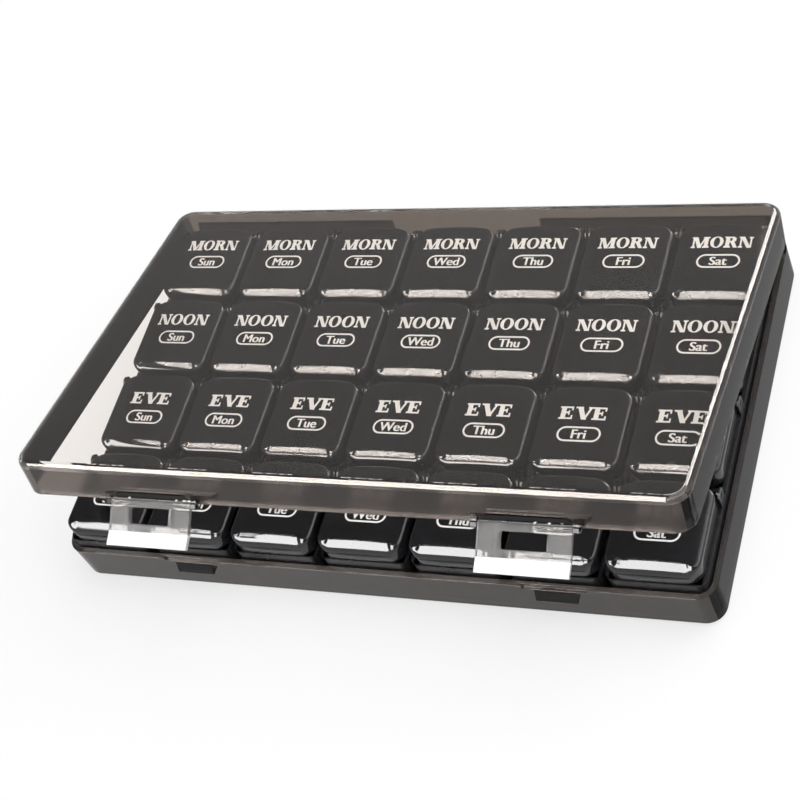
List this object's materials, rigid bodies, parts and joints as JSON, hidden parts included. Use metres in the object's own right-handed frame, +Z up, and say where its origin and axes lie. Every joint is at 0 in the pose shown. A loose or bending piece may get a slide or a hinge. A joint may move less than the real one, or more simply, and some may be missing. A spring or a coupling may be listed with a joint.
{
  "type": "pill organizer",
  "caption": "Weekly pill organizer: daily boxes of flip-lid compartments for each time of day, in a clear hinged case with front latches.",
  "frame": {"origin": "middle of the case's underside, on the surface that it stands on", "axes": "+X across the days from the first to the last, +Y from the latches to the case hinge, +Z up"},
  "size_m": [0.2138, 0.1433, 0.0564],
  "materials": {
    "smoke_case": "smoke-tinted clear, polished",
    "clear_latch": "clear, polished",
    "black_box": "black, glossy",
    "black_lid": "black, glossy, with white print"
  },
  "bodies": {
    "case": {"case_base": "smoke_case", "sunday_box": "black_box", "monday_box": "black_box", "tuesday_box": "black_box", "wednesday_box": "black_box", "thursday_box": "black_box", "friday_box": "black_box", "saturday_box": "black_box"},
    "cover": {"case_cover": "smoke_case"},
    "latch_left": {"latch_left": "clear_latch"},
    "latch_right": {"latch_right": "clear_latch"},
    "sunday_morning_lid": {"sunday_morning_lid": "black_lid"},
    "sunday_noon_lid": {"sunday_noon_lid": "black_lid"},
    "sunday_evening_lid": {"sunday_evening_lid": "black_lid"},
    "sunday_bedtime_lid": {"sunday_bedtime_lid": "black_lid"},
    "monday_morning_lid": {"monday_morning_lid": "black_lid"},
    "monday_noon_lid": {"monday_noon_lid": "black_lid"},
    "monday_evening_lid": {"monday_evening_lid": "black_lid"},
    "monday_bedtime_lid": {"monday_bedtime_lid": "black_lid"},
    "tuesday_morning_lid": {"tuesday_morning_lid": "black_lid"},
    "tuesday_noon_lid": {"tuesday_noon_lid": "black_lid"},
    "tuesday_evening_lid": {"tuesday_evening_lid": "black_lid"},
    "tuesday_bedtime_lid": {"tuesday_bedtime_lid": "black_lid"},
    "wednesday_morning_lid": {"wednesday_morning_lid": "black_lid"},
    "wednesday_noon_lid": {"wednesday_noon_lid": "black_lid"},
    "wednesday_evening_lid": {"wednesday_evening_lid": "black_lid"},
    "wednesday_bedtime_lid": {"wednesday_bedtime_lid": "black_lid"},
    "thursday_morning_lid": {"thursday_morning_lid": "black_lid"},
    "thursday_noon_lid": {"thursday_noon_lid": "black_lid"},
    "thursday_evening_lid": {"thursday_evening_lid": "black_lid"},
    "thursday_bedtime_lid": {"thursday_bedtime_lid": "black_lid"},
    "friday_morning_lid": {"friday_morning_lid": "black_lid"},
    "friday_noon_lid": {"friday_noon_lid": "black_lid"},
    "friday_evening_lid": {"friday_evening_lid": "black_lid"},
    "friday_bedtime_lid": {"friday_bedtime_lid": "black_lid"},
    "saturday_morning_lid": {"saturday_morning_lid": "black_lid"},
    "saturday_noon_lid": {"saturday_noon_lid": "black_lid"},
    "saturday_evening_lid": {"saturday_evening_lid": "black_lid"},
    "saturday_bedtime_lid": {"saturday_bedtime_lid": "black_lid"}
  },
  "joints": [
    {"name": "cover_hinge", "type": "hinge", "parent": "case", "child": "cover", "pos_m": [0, 0.0667, 0.0149], "axis": [-1, 0, 0], "range_deg": [-12.9, 167.1]},
    {"name": "latch_left_hinge", "type": "hinge", "parent": "cover", "child": "latch_left", "pos_m": [-0.06, -0.06242, 0.04509], "axis": [-1, 0, 0], "range_deg": [-47, 60]},
    {"name": "latch_right_hinge", "type": "hinge", "parent": "cover", "child": "latch_right", "pos_m": [0.06, -0.06242, 0.04509], "axis": [-1, 0, 0], "range_deg": [-47, 60]},
    {"name": "sunday_morning_hinge", "type": "hinge", "parent": "case", "child": "sunday_morning_lid", "pos_m": [-0.09, 0.0589, 0.0217], "axis": [-1, 0, 0], "range_deg": [0, 18]},
    {"name": "sunday_noon_hinge", "type": "hinge", "parent": "case", "child": "sunday_noon_lid", "pos_m": [-0.09, 0.0277, 0.0217], "axis": [-1, 0, 0], "range_deg": [0, 35]},
    {"name": "sunday_evening_hinge", "type": "hinge", "parent": "case", "child": "sunday_evening_lid", "pos_m": [-0.09, -0.0035, 0.0217], "axis": [-1, 0, 0], "range_deg": [0, 54]},
    {"name": "sunday_bedtime_hinge", "type": "hinge", "parent": "case", "child": "sunday_bedtime_lid", "pos_m": [-0.09, -0.0347, 0.0217], "axis": [-1, 0, 0], "range_deg": [0, 88]},
    {"name": "monday_morning_hinge", "type": "hinge", "parent": "case", "child": "monday_morning_lid", "pos_m": [-0.06, 0.0589, 0.0217], "axis": [-1, 0, 0], "range_deg": [0, 18]},
    {"name": "monday_noon_hinge", "type": "hinge", "parent": "case", "child": "monday_noon_lid", "pos_m": [-0.06, 0.0277, 0.0217], "axis": [-1, 0, 0], "range_deg": [0, 35]},
    {"name": "monday_evening_hinge", "type": "hinge", "parent": "case", "child": "monday_evening_lid", "pos_m": [-0.06, -0.0035, 0.0217], "axis": [-1, 0, 0], "range_deg": [0, 54]},
    {"name": "monday_bedtime_hinge", "type": "hinge", "parent": "case", "child": "monday_bedtime_lid", "pos_m": [-0.06, -0.0347, 0.0217], "axis": [-1, 0, 0], "range_deg": [0, 88]},
    {"name": "tuesday_morning_hinge", "type": "hinge", "parent": "case", "child": "tuesday_morning_lid", "pos_m": [-0.03, 0.0589, 0.0217], "axis": [-1, 0, 0], "range_deg": [0, 18]},
    {"name": "tuesday_noon_hinge", "type": "hinge", "parent": "case", "child": "tuesday_noon_lid", "pos_m": [-0.03, 0.0277, 0.0217], "axis": [-1, 0, 0], "range_deg": [0, 35]},
    {"name": "tuesday_evening_hinge", "type": "hinge", "parent": "case", "child": "tuesday_evening_lid", "pos_m": [-0.03, -0.0035, 0.0217], "axis": [-1, 0, 0], "range_deg": [0, 54]},
    {"name": "tuesday_bedtime_hinge", "type": "hinge", "parent": "case", "child": "tuesday_bedtime_lid", "pos_m": [-0.03, -0.0347, 0.0217], "axis": [-1, 0, 0], "range_deg": [0, 88]},
    {"name": "wednesday_morning_hinge", "type": "hinge", "parent": "case", "child": "wednesday_morning_lid", "pos_m": [0, 0.0589, 0.0217], "axis": [-1, 0, 0], "range_deg": [0, 18]},
    {"name": "wednesday_noon_hinge", "type": "hinge", "parent": "case", "child": "wednesday_noon_lid", "pos_m": [0, 0.0277, 0.0217], "axis": [-1, 0, 0], "range_deg": [0, 35]},
    {"name": "wednesday_evening_hinge", "type": "hinge", "parent": "case", "child": "wednesday_evening_lid", "pos_m": [0, -0.0035, 0.0217], "axis": [-1, 0, 0], "range_deg": [0, 54]},
    {"name": "wednesday_bedtime_hinge", "type": "hinge", "parent": "case", "child": "wednesday_bedtime_lid", "pos_m": [0, -0.0347, 0.0217], "axis": [-1, 0, 0], "range_deg": [0, 88]},
    {"name": "thursday_morning_hinge", "type": "hinge", "parent": "case", "child": "thursday_morning_lid", "pos_m": [0.03, 0.0589, 0.0217], "axis": [-1, 0, 0], "range_deg": [0, 18]},
    {"name": "thursday_noon_hinge", "type": "hinge", "parent": "case", "child": "thursday_noon_lid", "pos_m": [0.03, 0.0277, 0.0217], "axis": [-1, 0, 0], "range_deg": [0, 35]},
    {"name": "thursday_evening_hinge", "type": "hinge", "parent": "case", "child": "thursday_evening_lid", "pos_m": [0.03, -0.0035, 0.0217], "axis": [-1, 0, 0], "range_deg": [0, 54]},
    {"name": "thursday_bedtime_hinge", "type": "hinge", "parent": "case", "child": "thursday_bedtime_lid", "pos_m": [0.03, -0.0347, 0.0217], "axis": [-1, 0, 0], "range_deg": [0, 88]},
    {"name": "friday_morning_hinge", "type": "hinge", "parent": "case", "child": "friday_morning_lid", "pos_m": [0.06, 0.0589, 0.0217], "axis": [-1, 0, 0], "range_deg": [0, 18]},
    {"name": "friday_noon_hinge", "type": "hinge", "parent": "case", "child": "friday_noon_lid", "pos_m": [0.06, 0.0277, 0.0217], "axis": [-1, 0, 0], "range_deg": [0, 35]},
    {"name": "friday_evening_hinge", "type": "hinge", "parent": "case", "child": "friday_evening_lid", "pos_m": [0.06, -0.0035, 0.0217], "axis": [-1, 0, 0], "range_deg": [0, 54]},
    {"name": "friday_bedtime_hinge", "type": "hinge", "parent": "case", "child": "friday_bedtime_lid", "pos_m": [0.06, -0.0347, 0.0217], "axis": [-1, 0, 0], "range_deg": [0, 88]},
    {"name": "saturday_morning_hinge", "type": "hinge", "parent": "case", "child": "saturday_morning_lid", "pos_m": [0.09, 0.0589, 0.0217], "axis": [-1, 0, 0], "range_deg": [0, 18]},
    {"name": "saturday_noon_hinge", "type": "hinge", "parent": "case", "child": "saturday_noon_lid", "pos_m": [0.09, 0.0277, 0.0217], "axis": [-1, 0, 0], "range_deg": [0, 35]},
    {"name": "saturday_evening_hinge", "type": "hinge", "parent": "case", "child": "saturday_evening_lid", "pos_m": [0.09, -0.0035, 0.0217], "axis": [-1, 0, 0], "range_deg": [0, 54]},
    {"name": "saturday_bedtime_hinge", "type": "hinge", "parent": "case", "child": "saturday_bedtime_lid", "pos_m": [0.09, -0.0347, 0.0217], "axis": [-1, 0, 0], "range_deg": [0, 88]}
  ]
}
